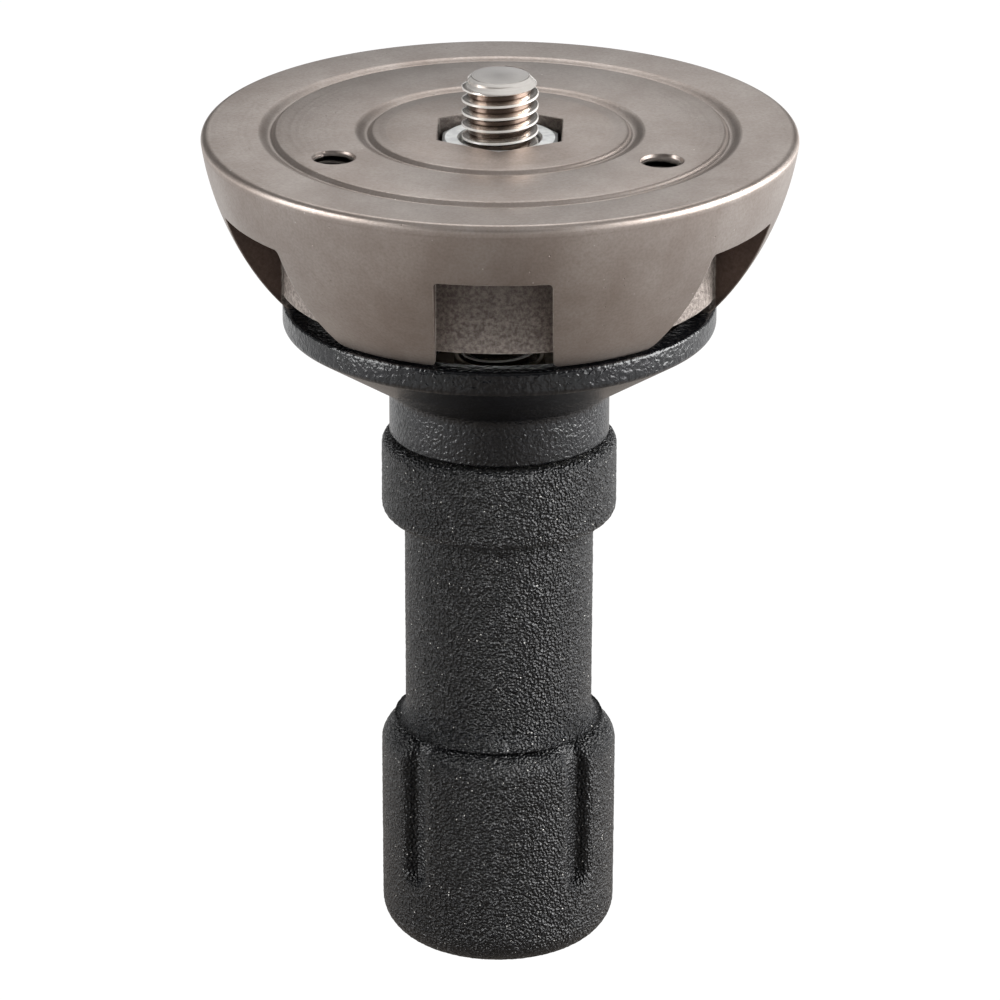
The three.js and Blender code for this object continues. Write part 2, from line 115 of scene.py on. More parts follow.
def placed(name, data):
    """A new object in the scene, at the origin."""
    thing = bpy.data.objects.new(name, data)
    bpy.context.scene.collection.objects.link(thing)
    return thing


print("face radius:", round(face_radius, 2), "mm, face height:", below_face(0), "mm")

# %% [markdown]
# ## The camera
# The photograph was taken from some way off with a long lens, looking down by about 21.6 degrees. A long
# lens keeps the handle nearly as wide as it is, and lets the flat face show as a slim ellipse.

# %% Camera
camera_distance = 797.7
camera_elevation = math.radians(21.607)
camera_azimuth = math.radians(1.3)
camera_roll = math.radians(0.15)
aim = Vector((0.12, 0, -53.84))
aim_to_camera = Vector((
    math.sin(camera_azimuth) * math.cos(camera_elevation),
    -math.cos(camera_azimuth) * math.cos(camera_elevation),
    math.sin(camera_elevation),
))
lens = bpy.data.cameras.new("studio_camera")
lens.lens = 226.32
lens.sensor_width = 36
lens.clip_start, lens.clip_end = 0.05, 20
camera = placed("studio_camera", lens)
camera.location = (aim + aim_to_camera * camera_distance) * mm
camera.rotation_mode = "QUATERNION"
level_view = (-aim_to_camera).to_track_quat("-Z", "Y")
camera.rotation_quaternion = level_view @ Quaternion((0, 0, 1), camera_roll)
bpy.context.scene.camera = camera
print("camera at", [round(x, 3) for x in camera.location])

# %% [markdown]
# ## Nodes written as sums
# Materials and geometry trees are both graphs. Linking them by hand hides the idea, so one small class
# wraps an output socket and gives it the ordinary operators: `1 - mask` or `height * 3` each add a Math
# node. Every other node comes from one method that takes its type, its settings and its sockets.

# %% A graph that reads like arithmetic
class Wire:
    """One output of a node, which can be added to, multiplied and compared."""

    def __init__(self, graph, socket):
        self.graph = graph
        self.socket = socket

    def other(self, name):
        """Another output of the same node."""
        return Wire(self.graph, self.socket.node.outputs[name])

    def math(self, operation, *values, clamp=False):
        sockets = dict(enumerate(values))
        return self.graph.node("ShaderNodeMath", {"operation": operation, "use_clamp": clamp}, sockets)

    def __abs__(self):
        return self.math("ABSOLUTE", self)

    def within(self, low, high):
        """0 below low, 1 above high, and an even climb between them; low above high turns it round."""
        return self.math("DIVIDE", self - low, high - low, clamp=True)

    def between(self, low, high, fade):
        """1 from low to high, and 0 beyond them by more than the fade."""
        return self.within(low - fade, low) * self.within(high + fade, high)

    def root(self):
        return self.math("SQRT", self)

    def sine(self):
        return self.math("SINE", self)

    def least(self, other):
        return self.math("MINIMUM", self, other)

    def most(self, other):
        return self.math("MAXIMUM", self, other)


# Each operator works both ways round: with the wire first, and with the number first.
for sign, operation in (("add", "ADD"), ("sub", "SUBTRACT"), ("mul", "MULTIPLY"), ("truediv", "DIVIDE")):
    setattr(Wire, f"__{sign}__", lambda wire, other, kind=operation: wire.math(kind, wire, other))
    setattr(Wire, f"__r{sign}__", lambda wire, other, kind=operation: wire.math(kind, other, wire))


class Graph:
    """A node tree and the method that adds to it."""

    def __init__(self, tree):
        self.tree = tree

    def node(self, kind, settings=None, sockets=None, output=0):
        made = self.tree.nodes.new(kind)
        for name, value in (settings or {}).items():
            setattr(made, name, value)
        for key, value in (sockets or {}).items():
            for one in value if isinstance(value, list) else [value]:
                if isinstance(one, Wire):
                    self.tree.links.new(one.socket, made.inputs[key])
                else:
                    made.inputs[key].default_value = one
        return Wire(self, made.outputs[output]) if made.outputs else made

    def split(self, vector):
        """The three numbers of a vector."""
        parts = self.node("ShaderNodeSeparateXYZ", {}, {0: vector})
        return [parts.other(axis) for axis in "XYZ"]


print("operators ready:", [name for name in vars(Wire) if name.startswith("__") and name != "__init__"])

# %% [markdown]
# ## Colours
# A colour given here is an sRGB number, as on a screen, while Blender's sockets hold linear light. The
# helper turns one into the other, so the colours below can be read as screen colours.

# %% Colours
def tint(red, green, blue):
    """A socket colour from screen values of 0 to 255."""
    linear = []
    for value in (red, green, blue):
        share = value / 255
        linear.append(share / 12.92 if share <= 0.04045 else ((share + 0.055) / 1.055) ** 2.4)
    return (*linear, 1)


def grey(value):
    return tint(value, value, value)


print("mid grey in linear light:", round(grey(128)[0], 3))

# %% [markdown]
# ## Studio
# A pale floor lies just below the lowest place that the handle can be screwed down to, and the world is a
# plain grey room for the light that falls on the object. What the camera sees behind the object is white,
# and so is most of what metal and plastic mirror: Light Path tells those rays apart. The backdrop's
# brightness therefore costs no extra light on the object.

# %% Floor and world
def studio_tree(owner):
    """An empty tree, with wires for the rays that see the studio as it is and for those that mirror it."""
    owner.use_nodes = True
    owner.node_tree.nodes.clear()
    graph = Graph(owner.node_tree)
    path = graph.node("ShaderNodeLightPath")
    seen = path.other("Is Camera Ray").most(path.other("Is Transmission Ray"))
    return graph, seen, path.other("Is Glossy Ray")


travel = next(j for j in frame["record"]["behaviour"]["joints"] if j["name"] == "clamp_travel")
floor_gap, floor_reach = 0.0002, 3
floor_height = cad_box[0][2] - travel["range_m"][1] - floor_gap
corners = [(x * floor_reach, y * floor_reach, floor_height) for x, y in ((-1, -1), (1, -1), (1, 1), (-1, 1))]
floor = placed("floor", mesh_of("floor", corners, [(0, 1, 2, 3)]))

floor_paint = bpy.data.materials.new("floor_paint")
graph, seen, mirrored = studio_tree(floor_paint)
across, along = graph.split(graph.node("ShaderNodeTexCoord", output="Object"))[:2]
lit_table = along.within(-0.05, 0.25) * 0.3 + abs(across).within(0.02, 0.16) * 0.68 + 0.13
warm, white = (1, 0.8, 0.64, 1), (1, 1, 1, 1)
paint = graph.node("ShaderNodeBsdfDiffuse", {}, {"Color": grey(205)})
table_tone = graph.node("ShaderNodeMix", {"data_type": "RGBA"}, {
    0: seen.most(lit_table.within(0.22, 0.8)), 6: warm, 7: white}, 2)
glow = graph.node("ShaderNodeEmission", {}, {
    "Color": table_tone, "Strength": seen * 1.08 + mirrored * lit_table})
mixed = graph.node("ShaderNodeMixShader", {}, {0: seen * 0.88 + mirrored * 0.85, 1: paint, 2: glow})
graph.node("ShaderNodeOutputMaterial", {}, {"Surface": mixed})
floor.data.materials.append(floor_paint)

room = bpy.data.worlds.new("studio_room")
bpy.context.scene.world = room
graph, seen, mirrored = studio_tree(room)
sideways, backwards, height = graph.split(graph.node("ShaderNodeTexCoord", output="Generated"))
middle_share = 1.34 - abs(sideways).within(-0.02, 0.17) * 1.2
backdrop = backwards.within(0.1, 0.85) * height.within(-0.1, 0.35) * middle_share
ceiling = height.within(0.45, 1.0)
white_share = seen.most(mirrored * backdrop.most(ceiling * 0.5))
strength = white_share + (1 - white_share) * (0.03 + backdrop * 0.4 + ceiling * 0.15)
light = graph.node("ShaderNodeBackground", {}, {"Color": white, "Strength": strength})
graph.node("ShaderNodeOutputWorld", {}, {"Surface": light})
bpy.context.scene.view_settings.view_transform = "Standard"
print("floor at", round(floor_height, 4), "m")

# %% [markdown]
# ## Lamps
# The photograph was lit softly from both sides, which leaves long bright lines on the black parts, and from
# above and behind, which lifts the flat face. Area lamps as large as a studio's softboxes give such lines
# soft ends. Two stand on the right, because the photograph is brighter there.

# %% Lamps
def soft_lamp(name, place, size, watts):
    """A soft area lamp, so many metres wide and high, that looks at the middle of the object."""
    lamp = bpy.data.lights.new(name, "AREA")
    lamp.shape = "RECTANGLE"
    lamp.size, lamp.size_y = size
    lamp.energy = watts
    holder = placed(name, lamp)
    holder.location = place
    holder.rotation_mode = "QUATERNION"
    holder.rotation_quaternion = (Vector((0, 0, -0.05)) - Vector(place)).to_track_quat("-Z", "Y")


soft_lamp("left_lamp", (-0.79, -0.26, 0.12), (0.4, 0.8), 10.5)
soft_lamp("right_lamp", (0.79, -0.24, 0.12), (0.4, 0.8), 11.5)
soft_lamp("right_back_lamp", (0.8, 0.15, 0.1), (0.4, 0.8), 13.0)
soft_lamp("top_lamp", (0, 0.6, 0.8), (0.8, 0.4), 2.6)

# %% [markdown]
# ## Turned shapes
# Ball, flange, bush and handle are all round about one axis, as if cut on a lathe. A profile of radius and
# height pairs is swept round that axis. Real edges are never sharp, so a second helper swaps each corner of
# a profile for a small arc before it is swept.

# %% Profiles and the lathe
def arc(centre_radius, centre_depth, width, start, end, steps, height=None):
    """Profile points along part of a circle or an ellipse, with angles up from the outward direction."""
    points = []
    for step in range(steps + 1):
        angle = math.radians(start + (end - start) * step / steps)
        rise = (height or width) * math.sin(angle)
        points.append((centre_radius + width * math.cos(angle), below_face(centre_depth) + rise))
    return points


def eased(corners, steps=4):
    """Profile points with a small arc at each corner that gives a third number, its radius."""
    points = []
    for index, corner in enumerate(corners):
        here = Vector(corner[:2])
        if len(corner) < 3:
            points.append(tuple(here))
            continue
        before = (Vector(corners[index - 1][:2]) - here).normalized()
        after = (Vector(corners[(index + 1) % len(corners)][:2]) - here).normalized()
        half = before.angle(after) / 2
        run = corner[2] / math.tan(half)
        centre = here + (before + after).normalized() * corner[2] / math.sin(half)
        first, last = here + before * run - centre, here + after * run - centre
        for step in range(steps + 1):
            spoke = first.lerp(last, step / steps).normalized() * corner[2]
            points.append(tuple(centre + spoke))
    return points


def smoothed(mesh, degrees):
    """Shades a mesh smooth, apart from the edges that turn more sharply than this."""
    mesh.shade_smooth()
    mesh.set_sharp_from_angle(angle=math.radians(degrees))
    return mesh


def turned(name, profile, segments=180, ring=False, sharp=35):
    """A solid of the profile, turned about the axis. A ring closes its profile on itself round a bore."""
    vertices, faces, rows = [], [], []
    for radius, height in profile:
        if radius < 1e-6:
            rows.append([len(vertices)])
            vertices.append((0, 0, height * mm))
            continue
        rows.append(list(range(len(vertices), len(vertices) + segments)))
        for segment in range(segments):
            angle = 2 * math.pi * segment / segments
            vertices.append((radius * mm * math.cos(angle), radius * mm * math.sin(angle), height * mm))
    pairs = list(zip(rows, rows[1:] + rows[:1] if ring else rows[1:]))
    for lower, upper in pairs:
        for segment in range(segments):
            following = (segment + 1) % segments
            if len(lower) == 1:
                faces.append((lower[0], upper[following], upper[segment]))
            elif len(upper) == 1:
                faces.append((lower[segment], lower[following], upper[0]))
            else:
                faces.append((lower[segment], lower[following], upper[following], upper[segment]))
    mesh = mesh_of(name, vertices, faces)
    mesh.validate()
    return placed(name, smoothed(mesh, sharp))


print("an eased corner:", [tuple(round(x, 2) for x in p) for p in eased([(0, 0), (5, 0, 1), (5, 5)], 2)])

# %% [markdown]
# ## The ball's blank
# The half ball is a casting that is machined on its flat face and left as cast inside. Its blank is one
# turned ring: a sphere outside, two shallow ring grooves in the face, a hub round the rod's bore, and a
# wall that ends in fingers. The notches between the fingers are cut later.

# %% Turn the ball's blank
groove_width, groove_depth = 2.4, 0.55
inner_groove_radius, outer_groove_radius = 17, face_radius - 8.24
plate_thickness, hub_radius, hub_depth = 6, 11.5, 13.5
wall_radius, wall_inner_radius, wall_draft = 27.8, 24.1, 0.14
finger_depth, wall_depth, finger_tip_thickness = 21.9, 19.5, 2.63
bore_radius = 5.06


def groove(centre_radius):
    """A ring groove in the flat face, from outside inwards: a long easy slope and then a short steep one."""
    points = []
    for step in range(21):
        share = 1 - step / 10
        run = (1 - share) / 1.4 if share > -0.4 else (share + 1) / 0.6
        depth = groove_depth * (1 - math.cos(math.pi * run)) / 2
        points.append((centre_radius + share * groove_width / 2, below_face(depth)))
    return points


rim_round = 0.9
rim_centre = math.sqrt((ball_radius - rim_round) ** 2 - (face_drop + rim_round) ** 2)
rim_angle = -math.degrees(math.asin((face_drop + rim_round) / (ball_radius - rim_round)))
foot_angle = -math.degrees(math.asin((face_drop + finger_depth - 0.2) / ball_radius))
foot_radius = wall_inner_radius + finger_tip_thickness
plate_round = 1.5
ball_profile = [
    *at_depths((wall_inner_radius + 0.3, finger_depth), (foot_radius - 0.25, finger_depth)),
    *arc(0, -face_drop, ball_radius, foot_angle, rim_angle, 60),
    *arc(rim_centre, rim_round, rim_round, rim_angle, 90, 8)[1:],
    *groove(outer_groove_radius),
    *groove(inner_groove_radius),
    *at_depths((bore_radius + 0.4, 0), (bore_radius, 0.4), (bore_radius, hub_depth),
               (hub_radius - 0.5, hub_depth), (hub_radius, hub_depth - 0.5)),
    *arc(hub_radius + plate_round, plate_thickness + plate_round, plate_round, 180, 90, 5),
    *arc(wall_inner_radius - plate_round, plate_thickness + plate_round, plate_round, 90, 0, 5),
    *at_depths((wall_inner_radius, finger_depth - 0.3)),
]
blank = turned("ball_blank", ball_profile, segments=288, ring=True, sharp=28)
print("blank faces:", len(blank.data.polygons))

# %% [markdown]
# ## One tree that cuts round the axis
# Notches and holes are the same cut, repeated at even angles. Six copies could be placed by hand, but a
# Geometry Nodes tree says it once: put the cutter on points round the axis, realize the copies, and take them
# away from the casting. How many, from which angle and with what cutter are its inputs. The same tree can
# also join the copies to the casting or keep what both have in common.

# %% The cutting tree
def open_tree(name, fields):
    """A new Geometry Nodes tree: its graph, its named inputs and the wires that come from them."""
    tree = bpy.data.node_groups.new(name, "GeometryNodeTree")
    inputs = {label: tree.interface.new_socket(label, in_out="INPUT", socket_type="NodeSocket" + kind)
              for label, kind in fields.items()}
    graph = Graph(tree)
    given = graph.node("NodeGroupInput")
    return graph, inputs, {label: given.other(label) for label in fields}


def close_tree(graph, geometry, material=None):
    """Realizes the copies in a tree's geometry, sets its material and hands it over as the result."""
    graph.tree.interface.new_socket("Result", in_out="OUTPUT", socket_type="NodeSocketGeometry")
    whole = graph.node("GeometryNodeRealizeInstances", {}, {0: geometry})
    painted = graph.node("GeometryNodeSetMaterial", {}, {"Geometry": whole, "Material": material})
    graph.node("NodeGroupOutput", {}, {"Result": painted})
    return graph.tree


def cutting_tree(operation):
    """A tree that spreads copies of a cutter evenly round the axis and combines them with a casting."""
    graph, inputs, given = open_tree("cut_round_the_axis", {
        "Casting": "Geometry", "Cutter": "Object", "Count": "Int", "First angle": "Float",
        "Finish": "Material"})
    cutter = graph.node("GeometryNodeObjectInfo", {}, {"Object": given["Cutter"]}, "Geometry")
    places = graph.node("GeometryNodePoints", {}, {"Count": given["Count"]})
    index = graph.node("GeometryNodeInputIndex")
    angle = given["First angle"] + index * (2 * math.pi) / given["Count"]
    turn = graph.node("FunctionNodeAxisAngleToRotation", {}, {"Axis": (0, 0, 1), "Angle": angle})
    copies = graph.node("GeometryNodeInstanceOnPoints", {},
                        {"Points": places, "Instance": cutter, "Rotation": turn})
    both = [given["Casting"], graph.node("GeometryNodeRealizeInstances", {}, {0: copies})]
    solids = dict(enumerate(both)) if operation == "DIFFERENCE" else {1: both}
    cut = graph.node("GeometryNodeMeshBoolean", {"operation": operation, "solver": "EXACT"}, solids)
    return close_tree(graph, cut, given["Finish"]), inputs


def grown(name, start, tree, inputs, values):
    """Runs a tree on an object and keeps its result as a plain mesh under a new name."""
    modifier = start.modifiers.new("tree", "NODES")
    modifier.node_group = tree
    for label, value in values.items():
        modifier[inputs[label].identifier] = value
    evaluated = start.evaluated_get(bpy.context.evaluated_depsgraph_get())
    mesh = bpy.data.meshes.new_from_object(evaluated)
    mesh.name = name
    start.modifiers.remove(modifier)
    bpy.data.objects.remove(start)
    return placed(name, mesh)


cutting_trees = {operation: cutting_tree(operation) for operation in ("DIFFERENCE", "UNION", "INTERSECT")}


def cut_round(name, casting, cutter, count=1, operation="DIFFERENCE"):
    """The casting with so many copies of the cutter taken away from it, joined to it or kept in common."""
    tree, inputs = cutting_trees[operation]
    return grown(name, casting, tree, inputs, {"Cutter": cutter, "Count": count, "First angle": 0.0})


print("inputs of the cutting tree:", list(cutting_trees["DIFFERENCE"][1]))

# %% [markdown]
# ## Six notches
# Each notch is a window with straight sides that stops at the inner wall, and below the wall's edge it
# opens right through, which leaves the fingers. Its cutter is a prism of the window's outline, with small
# rounds under the roof and at the finger tips, less the wall that stays.

# %% The notch cutter
notch_width, roof_depth, roof_round, tip_round = 14.3, 8, 0.6, 1.1


def prism(name, outline, inner, outer):
    """A solid of an outline of (across, height) points, pushed out along the front from inner to outer."""
    count = len(outline)
    vertices = [(across * mm, -reach * mm, height * mm) for reach in (inner, outer)
                for across, height in outline]
    sides = [(i, (i + 1) % count, count + (i + 1) % count, count + i) for i in range(count)]
    ends = [tuple(range(count))[::-1], tuple(range(count, 2 * count))]
    return placed(name, mesh_of(name, vertices, sides + ends))


half = notch_width / 2
notch_outline = [
    *at_depths((-half - tip_round, finger_depth + 3), (half + tip_round, finger_depth + 3)),
    *arc(half + tip_round, finger_depth - tip_round, tip_round, 270, 180, 8),
    *arc(half - roof_round, roof_depth + roof_round, roof_round, 0, 90, 6),
    *arc(roof_round - half, roof_depth + roof_round, roof_round, 90, 180, 6),
    *arc(-half - tip_round, finger_depth - tip_round, tip_round, 0, -90, 8),
]
notch_cutter = prism("notch_cutter", notch_outline, wall_inner_radius - 2, ball_radius + 2)
kept_wall = turned("kept_wall", at_depths(
    (0, wall_depth), (wall_radius - wall_draft, wall_depth), (wall_radius, roof_depth),
    (wall_radius, 0), (0, 0),
), segments=288)
wall_cut = notch_cutter.modifiers.new("kept_wall", "BOOLEAN")
wall_cut.operation, wall_cut.object, wall_cut.solver = "DIFFERENCE", kept_wall, "EXACT"
casting = cut_round("half_ball_casting", blank, notch_cutter, 6)
print("after the notches:", len(casting.data.polygons), "faces")

# %% [markdown]
# ## Screw threads
# A thread is a V-shaped groove that climbs round a bar. A spiral curve gives the path, a four-cornered
# profile gives the V, and Curve to Mesh sweeps one along the other. The same tree makes the groove of the
# 3/8 inch stud, which is cut inwards, and the groove of the M6 holes, which is cut outwards. Blender's
# spiral climbs clockwise, which is a left-hand screw, so it is reversed.

# %% The thread tree
def thread_tree():
    """A tree that sweeps a V profile along a spiral, as a solid that can cut a thread."""
    graph, inputs, size = open_tree("thread_groove", {
        "Pitch": "Float", "Turns": "Float", "Mouth radius": "Float", "Root radius": "Float",
        "Mouth half width": "Float", "Root half width": "Float", "Start height": "Float",
        "Segments": "Int"})
    middle = (size["Mouth radius"] + size["Root radius"]) * 0.5
    spiral = graph.node("GeometryNodeCurveSpiral", {}, {
        "Resolution": size["Segments"], "Rotations": size["Turns"], "Start Radius": middle,
        "End Radius": middle, "Height": size["Pitch"] * size["Turns"], "Reverse": True})
    level = graph.node("GeometryNodeSetCurveNormal", {"mode": "Z_UP"}, {"Curve": spiral})
    depth = (size["Mouth radius"] - size["Root radius"]) * 0.5
    corners = {}
    for number, outward, upward in ((1, 1, 1), (2, -1, 1), (3, -1, -1), (4, 1, -1)):
        width = size["Mouth half width"] if outward > 0 else size["Root half width"]
        corners[f"Point {number}"] = graph.node(
            "ShaderNodeCombineXYZ", {}, {"X": depth * outward, "Y": width * upward})
    outline = graph.node("GeometryNodeCurvePrimitiveQuadrilateral", {"mode": "POINTS"}, corners)
    sweep = graph.node("GeometryNodeCurveToMesh", {}, {
        "Curve": level, "Profile Curve": outline, "Fill Caps": True})
    lift = graph.node("ShaderNodeCombineXYZ", {}, {"Z": size["Start height"]})
    lifted = graph.node("GeometryNodeTransform", {}, {"Geometry": sweep, "Translation": lift})
    return close_tree(graph, lifted), inputs


def thread_groove(name, pitch, turns, mouth, root, mouth_half, root_half, start, segments=64):
    """The swept groove of one thread, in millimetres, ready to be used as a cutter."""
    return grown(name, placed(name, bpy.data.meshes.new(name)), spiral_tree, spiral_inputs, {
        "Pitch": pitch * mm, "Turns": turns, "Mouth radius": mouth * mm, "Root radius": root * mm,
        "Mouth half width": mouth_half * mm, "Root half width": root_half * mm,
        "Start height": start * mm, "Segments": segments})


spiral_tree, spiral_inputs = thread_tree()
print("inputs of the thread tree:", list(spiral_inputs))

# %% [markdown]
# ## Stud and rod
# The stud on top and the rod that runs down into the handle are one bar with a 3/8 inch thread of 16 turns
# to the inch. The bar is turned with a coned end, and the groove is cut along all of it, so that the thread
# also shows when the handle is screwed down. Cutting keeps the flat crests that a real thread has.

# %% Thread the rod
rod_radius, rod_height, rod_end_depth, rod_cone = 4.7625, 7.05, 80.0, 1.18
rod_pitch, rod_root_radius, mouth_half_width, root_half_width = 1.5875, 3.95, 0.735, 0.2
rod_top = below_face(-rod_height)
rod_foot = below_face(rod_end_depth)
rod_blank = turned("rod_blank", eased([
    (0, rod_foot),
    (rod_radius - rod_cone, rod_foot, 0.08),
    (rod_radius, rod_foot + rod_cone, 0.08),
    (rod_radius, rod_top - rod_cone, 0.08),
    (rod_radius - rod_cone, rod_top, 0.1),
    (0, rod_top),
]), segments=96)
rod_turns = math.ceil((rod_height + rod_end_depth) / rod_pitch) + 2
rod_groove_foot = rod_foot - 1.5 * rod_pitch + 0.6
rod_groove = thread_groove("rod_groove", rod_pitch, rod_turns, rod_radius + 0.08, rod_root_radius,
                           mouth_half_width, root_half_width, rod_groove_foot)
stud_rod = cut_round("stainless_rod", rod_blank, rod_groove)
smoothed(stud_rod.data, 25)
print("rod faces:", len(stud_rod.data.polygons), "box:", [round(x, 4) for x in stud_rod.bound_box[0]],
      [round(x, 4) for x in stud_rod.bound_box[6]])

# %% [markdown]
# ## Bosses and tapped holes
# Under the face three bosses hang behind the inner wall, each with a tapped hole for a set screw. The same
# tree that cuts the notches joins the bosses, drills the holes and cuts their threads, three at a time. The
# groove stops just under the face, so that the face keeps a clean edge round each hole.

# %% Bosses and tapped holes
def lift_out(cutter, radius, degrees):
    """Moves a cutter out from the axis, in its mesh."""
    angle = math.radians(degrees)
    for vertex in cutter.data.vertices:
        vertex.co += Vector((math.cos(angle), math.sin(angle), 0)) * radius * mm
    return cutter


screw_circle_radius, hole_radius, boss_radius = 23.2, 2.6, 4.5
screw_pitch, screw_turns, screw_foot, screw_mouth, screw_root = 1.0, 15.25, 15.7, 0.44, 0.06
hole = turned("screw_hole", at_depths(
    (0, 18), (hole_radius, 18), (hole_radius, 0.3), (hole_radius + 0.15, -0.1),
    (hole_radius + 0.15, -2), (0, -2),
), segments=64)
boss = turned("screw_boss", at_depths(
    (0, hub_depth), (boss_radius - 0.4, hub_depth), (boss_radius, hub_depth - 0.4),
    (boss_radius, 3), (0, 3),
), segments=64)
casting = cut_round("half_ball_casting", casting, lift_out(boss, screw_circle_radius, 90), 3, "UNION")
casting = cut_round("half_ball_casting", casting, lift_out(hole, screw_circle_radius, 90), 3)
hole_groove = thread_groove("hole_groove", screw_pitch, screw_turns, hole_radius - 0.06,
                            hole_radius + 0.46, screw_mouth, screw_root, below_face(screw_foot), segments=48)
casting = cut_round("half_ball_casting", casting, lift_out(hole_groove, screw_circle_radius, 90), 3)
print("casting with its tapped holes:", len(casting.data.polygons), "faces")

# %% [markdown]
# ## Hexagons
# The nut sits in a hexagonal recess, and the nut is a hexagonal bar whose corners are turned off. Both are
# six-sided prisms. The recess has a small round on its edge, so its prism flares a little at the mouth.

# %% Recess and nut
def hex_bar(name, levels, turn_degrees=90):
    """A hexagonal solid whose size across flats is given at each height, lowest first."""
    vertices, faces = [], []
    for across_flats, height in levels:
        corner = across_flats / math.sqrt(3)
        for side in range(6):
            angle = math.radians(turn_degrees + 60 * side)
            vertices.append((corner * mm * math.cos(angle), corner * mm * math.sin(angle), height * mm))
    for level in range(len(levels) - 1):
        for side in range(6):
            first, following = level * 6 + side, level * 6 + (side + 1) % 6
            faces.append((first, following, following + 6, first + 6))
    last = 6 * (len(levels) - 1)
    faces += [tuple(range(6))[::-1], tuple(range(last, last + 6))]
    return placed(name, mesh_of(name, vertices, faces))


recess_flats, recess_depth = 15.29, 9.6
recess = hex_bar("nut_recess", at_depths(
    (recess_flats, recess_depth), (recess_flats, 0.3), (recess_flats + 0.1, 0.1),
    (recess_flats + 0.4, -0.1), (recess_flats + 0.4, -2),
))
casting = cut_round("half_ball_casting", casting, recess)
smoothed(casting.data, 28)
print("finished casting:", len(casting.data.polygons), "faces")

nut_flats, chamfer_circle = 14.29, 13.7


def hexagon_nut(name, top, thickness):
    """A nut with its corners turned off at 30 degrees, above and below, and a coned mouth to its bore."""
    foot = top + thickness
    corner = nut_flats / math.sqrt(3)
    drop = (corner + 0.2 - chamfer_circle / 2) * math.tan(math.radians(30))
    mouth = 0.25
    bar = hex_bar(name, at_depths((nut_flats, foot), (nut_flats, top)))
    turned_off = turned("nut_blank", at_depths(
        (bore_radius + mouth, foot), (chamfer_circle / 2, foot), (corner + 0.2, foot - drop),
        (corner + 0.2, top + drop), (chamfer_circle / 2, top), (bore_radius + mouth, top),
        (bore_radius, top + mouth), (bore_radius, foot - mouth),
    ), segments=120, ring=True)
    nut = cut_round(name, bar, turned_off, operation="INTERSECT")
    smoothed(nut.data, 20)
    return nut


top_nut = hexagon_nut("zinc_top_nut", 1, 8.3)
hub_nut = hexagon_nut("zinc_hub_nut", 18.35, 5.56)
print("nut faces:", len(top_nut.data.polygons), len(hub_nut.data.polygons))

# %% [markdown]
# ## Flange and bush
# The clamp flange is one black casting with a thin rim, a dish and a neck. The bush closes the neck round
# the rod. Both are turned, and the cone under the rim runs into the neck with a round of 2 mm.

# %% Turn the flange and the bush
flange_radius, rim_top, rim_middle, cone_slope = 27.2, 22.2, 26.2, 32.2
neck_radius, neck_foot, fillet_middle = 13.88, 39.7, 15.88
slope = math.radians(cone_slope)
cone_top_radius = rim_middle + math.sin(slope)
cone_top_depth = rim_top + 2.4 + math.cos(slope)
fillet_depth = cone_top_depth + (cone_top_radius - fillet_middle) * math.tan(slope) + 2 / math.cos(slope)
flange_profile = [
    *at_depths((12.4, neck_foot)),
    *arc(neck_radius - 0.35, neck_foot - 0.35, 0.35, -90, 0, 4),
    *arc(fillet_middle, fillet_depth, 2, 180, 90 + cone_slope, 8),
    *arc(rim_middle, rim_top + 2.4, 1, 270 + cone_slope, 360, 8),
    *arc(flange_radius - 0.4, rim_top + 0.4, 0.4, 0, 90, 5),
    *arc(24.5, rim_top + 0.3, 0.3, 90, 180, 4),
    *at_depths((24.2, rim_top + 1), (10.6, 32), (10.6, 33.3), (10.0, 33.3), (10.0, 36.8), (8.3, 36.8),
               (8.3, 38.7), (12.4, 38.7)),
]
flange = turned("wrinkled_flange", flange_profile, segments=240, ring=True, sharp=40)
bush = turned("bright_bush", eased(at_depths(
    (bore_radius, 33), (10.3, 33, 0.15), (10.3, 32, 0.25), (5.75, 32, 0.15), (5.75, 29.6, 0.15),
    (bore_radius, 29.6, 0.15),
)), segments=120, ring=True)
print("flange faces:", len(flange.data.polygons), "bush faces:", len(bush.data.polygons))

# %% [markdown]
# ## Body and knob
# Body and knob of the handle are plastic mouldings with generous rounds, and a crease parts them below the
# flare. They are turned as fine blanks, because the next step moves their points to make a skin.

# %% Turn the handle's body and knob
collar_top, waist_top, flare_start, body_foot = 40.2, 50.8, 76.5, 78.9
collar_radius, waist_radius = 14.87, 12.0
knob_radius, knob_top, knob_foot = 15.0, 79.2, 109.0
flare_radius = waist_radius - 0.08 + 1.4
body_profile = [
    *at_depths((2.3, 95.7), (10.2, 95.7), (10.2, body_foot)),
    *arc(flare_radius - 0.25, body_foot - 0.25, 0.25, 270, 360, 5),
    *arc(flare_radius, flare_start, 1.4, 310, 180, 12, height=2.4)[5:],
    *arc(waist_radius + 1, waist_top + 1, 1, 180, 90, 6),
    *arc(collar_radius - 1.5, waist_top - 1.5, 1.5, 270, 360, 8),
    *arc(collar_radius - 1.2, collar_top + 1.2, 1.2, 0, 90, 8),
    *at_depths((11.8, collar_top), (11.8, 42.5), (5.9, 42.5), (5.9, 88), (2.3, 88)),
]
knob_profile = [
    *at_depths((0, knob_foot)),
    *arc(knob_radius - 0.08 - 6, knob_foot - 5, 6, 270, 360, 20, height=5),
    *arc(knob_radius - 3.4, knob_top + 3.0, 3.4, 0, 90, 14, height=3.0),
    *at_depths((10.5, knob_top), (10.5, 96), (2.3, 96), (2.3, 101), (0, 101)),
]


